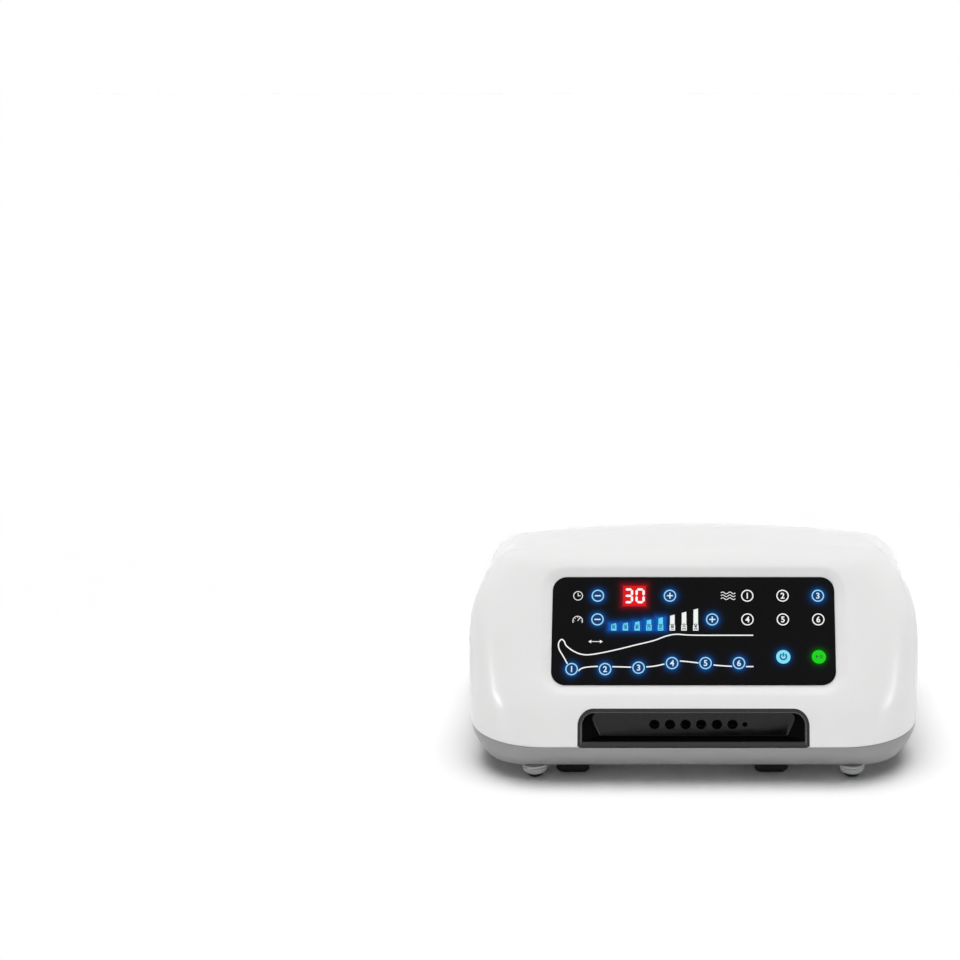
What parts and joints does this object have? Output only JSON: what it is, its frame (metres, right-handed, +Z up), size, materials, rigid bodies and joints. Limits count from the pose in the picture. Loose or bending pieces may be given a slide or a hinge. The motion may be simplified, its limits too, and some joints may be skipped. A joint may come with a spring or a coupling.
{
  "type": "compression therapy pump",
  "caption": "Mains air pump for a compression garment: white wedge case with a leaning black key panel, a black hose bay, a grey base on feet, and mains fittings behind.",
  "frame": {"origin": "on the ground, under the middle of the pump's box", "axes": "+X to the right as seen from the front, +Y from the key panel towards the rear plate, +Z up"},
  "size_m": [0.278, 0.2002, 0.128],
  "materials": {
    "white_gloss": "gloss white moulded plastic",
    "grey_shell": "satin mid grey moulded plastic",
    "panel_black": "gloss black moulded plastic with printed outlines",
    "black_plastic": "matte black moulded plastic",
    "rocker_black": "gloss black moulded plastic",
    "rubber_black": "matte black rubber",
    "clear_foot": "translucent grey plastic with a dark tip",
    "display_red": "tinted red readout window",
    "bar_light": "lit light blue and white bars",
    "steel": "plated steel",
    "alloy": "cast aluminium alloy",
    "ivory_plastic": "ivory moulded plastic",
    "board_green": "green lacquered circuit board",
    "copper": "lacquered copper winding",
    "silicone": "milky silicone hose",
    "ribbon_grey": "grey flat cable",
    "foam": "dark open cell foam"
  },
  "bodies": {
    "case": {"upper_shell": "white_gloss", "base_shell": "grey_shell", "rear_plate": "grey_shell", "filter_cover": "grey_shell", "control_panel": "panel_black", "hose_bay": "panel_black", "mains_inlet": "black_plastic", "switch_frame": "black_plastic", "fuse_holder": "black_plastic", "outlet_block": "black_plastic", "outlet_seal": "rubber_black", "pump_cradle": "rubber_black", "foot_front_left": "clear_foot", "foot_front_right": "clear_foot", "foot_rear_left": "clear_foot", "foot_rear_right": "clear_foot", "time_display": "display_red", "pressure_bars": "bar_light", "screw_front_left": "steel", "screw_front_right": "steel", "screw_rear_left": "steel", "screw_rear_right": "steel", "distributor_motor": "steel", "transformer": "steel", "pump_case": "alloy", "pump_lid": "alloy", "pump_head_left": "ivory_plastic", "pump_head_right": "ivory_plastic", "distributor_body": "ivory_plastic", "distributor_lid": "ivory_plastic", "display_board": "board_green", "main_board": "board_green", "stator_front": "copper", "stator_rear": "copper", "hose_loom": "silicone", "supply_hose": "silicone", "intake_hose": "silicone", "ribbon_cable": "ribbon_grey", "air_filter": "foam"},
    "key_time_minus": {"key_time_minus": "panel_black"},
    "key_time_plus": {"key_time_plus": "panel_black"},
    "key_pressure_minus": {"key_pressure_minus": "panel_black"},
    "key_pressure_plus": {"key_pressure_plus": "panel_black"},
    "key_mode_1": {"key_mode_1": "panel_black"},
    "key_mode_2": {"key_mode_2": "panel_black"},
    "key_mode_3": {"key_mode_3": "panel_black"},
    "key_mode_4": {"key_mode_4": "panel_black"},
    "key_mode_5": {"key_mode_5": "panel_black"},
    "key_mode_6": {"key_mode_6": "panel_black"},
    "key_chamber_1": {"key_chamber_1": "panel_black"},
    "key_chamber_2": {"key_chamber_2": "panel_black"},
    "key_chamber_3": {"key_chamber_3": "panel_black"},
    "key_chamber_4": {"key_chamber_4": "panel_black"},
    "key_chamber_5": {"key_chamber_5": "panel_black"},
    "key_chamber_6": {"key_chamber_6": "panel_black"},
    "key_power": {"key_power": "panel_black"},
    "key_start": {"key_start": "panel_black"},
    "rotor": {"distributor_rotor": "black_plastic"},
    "armature": {"armature": "ivory_plastic"},
    "rocker": {"power_rocker": "rocker_black"}
  },
  "joints": [
    {"name": "key_time_minus_press", "type": "slide", "parent": "case", "child": "key_time_minus", "axis": [0, 0.829, -0.5592], "range_m": [0, 0.0005], "stiffness_N_per_m": 900},
    {"name": "key_time_plus_press", "type": "slide", "parent": "case", "child": "key_time_plus", "axis": [0, 0.829, -0.5592], "range_m": [0, 0.0005], "stiffness_N_per_m": 900},
    {"name": "key_pressure_minus_press", "type": "slide", "parent": "case", "child": "key_pressure_minus", "axis": [0, 0.829, -0.5592], "range_m": [0, 0.0005], "stiffness_N_per_m": 900},
    {"name": "key_pressure_plus_press", "type": "slide", "parent": "case", "child": "key_pressure_plus", "axis": [0, 0.829, -0.5592], "range_m": [0, 0.0005], "stiffness_N_per_m": 900},
    {"name": "key_mode_1_press", "type": "slide", "parent": "case", "child": "key_mode_1", "axis": [0, 0.829, -0.5592], "range_m": [0, 0.0005], "stiffness_N_per_m": 900},
    {"name": "key_mode_2_press", "type": "slide", "parent": "case", "child": "key_mode_2", "axis": [0, 0.829, -0.5592], "range_m": [0, 0.0005], "stiffness_N_per_m": 900},
    {"name": "key_mode_3_press", "type": "slide", "parent": "case", "child": "key_mode_3", "axis": [0, 0.829, -0.5592], "range_m": [0, 0.0005], "stiffness_N_per_m": 900},
    {"name": "key_mode_4_press", "type": "slide", "parent": "case", "child": "key_mode_4", "axis": [0, 0.829, -0.5592], "range_m": [0, 0.0005], "stiffness_N_per_m": 900},
    {"name": "key_mode_5_press", "type": "slide", "parent": "case", "child": "key_mode_5", "axis": [0, 0.829, -0.5592], "range_m": [0, 0.0005], "stiffness_N_per_m": 900},
    {"name": "key_mode_6_press", "type": "slide", "parent": "case", "child": "key_mode_6", "axis": [0, 0.829, -0.5592], "range_m": [0, 0.0005], "stiffness_N_per_m": 900},
    {"name": "key_chamber_1_press", "type": "slide", "parent": "case", "child": "key_chamber_1", "axis": [0, 0.829, -0.5592], "range_m": [0, 0.0005], "stiffness_N_per_m": 900},
    {"name": "key_chamber_2_press", "type": "slide", "parent": "case", "child": "key_chamber_2", "axis": [0, 0.829, -0.5592], "range_m": [0, 0.0005], "stiffness_N_per_m": 900},
    {"name": "key_chamber_3_press", "type": "slide", "parent": "case", "child": "key_chamber_3", "axis": [0, 0.829, -0.5592], "range_m": [0, 0.0005], "stiffness_N_per_m": 900},
    {"name": "key_chamber_4_press", "type": "slide", "parent": "case", "child": "key_chamber_4", "axis": [0, 0.829, -0.5592], "range_m": [0, 0.0005], "stiffness_N_per_m": 900},
    {"name": "key_chamber_5_press", "type": "slide", "parent": "case", "child": "key_chamber_5", "axis": [0, 0.829, -0.5592], "range_m": [0, 0.0005], "stiffness_N_per_m": 900},
    {"name": "key_chamber_6_press", "type": "slide", "parent": "case", "child": "key_chamber_6", "axis": [0, 0.829, -0.5592], "range_m": [0, 0.0005], "stiffness_N_per_m": 900},
    {"name": "key_power_press", "type": "slide", "parent": "case", "child": "key_power", "axis": [0, 0.829, -0.5592], "range_m": [0, 0.0005], "stiffness_N_per_m": 900},
    {"name": "key_start_press", "type": "slide", "parent": "case", "child": "key_start", "axis": [0, 0.829, -0.5592], "range_m": [0, 0.0005], "stiffness_N_per_m": 900},
    {"name": "rotor_turn", "type": "hinge", "parent": "case", "child": "rotor", "pos_m": [0.09, -0.042, 0.04], "axis": [0, 0, 1], "continuous": true},
    {"name": "armature_swing", "type": "slide", "parent": "case", "child": "armature", "axis": [1, 0, 0], "range_m": [-0.0015, 0.0015], "stiffness_N_per_m": 4000},
    {"name": "rocker_tip", "type": "hinge", "parent": "case", "child": "rocker", "pos_m": [0.036, 0.087, 0.05], "axis": [1, 0, 0], "range_deg": [-18, 0]}
  ]
}
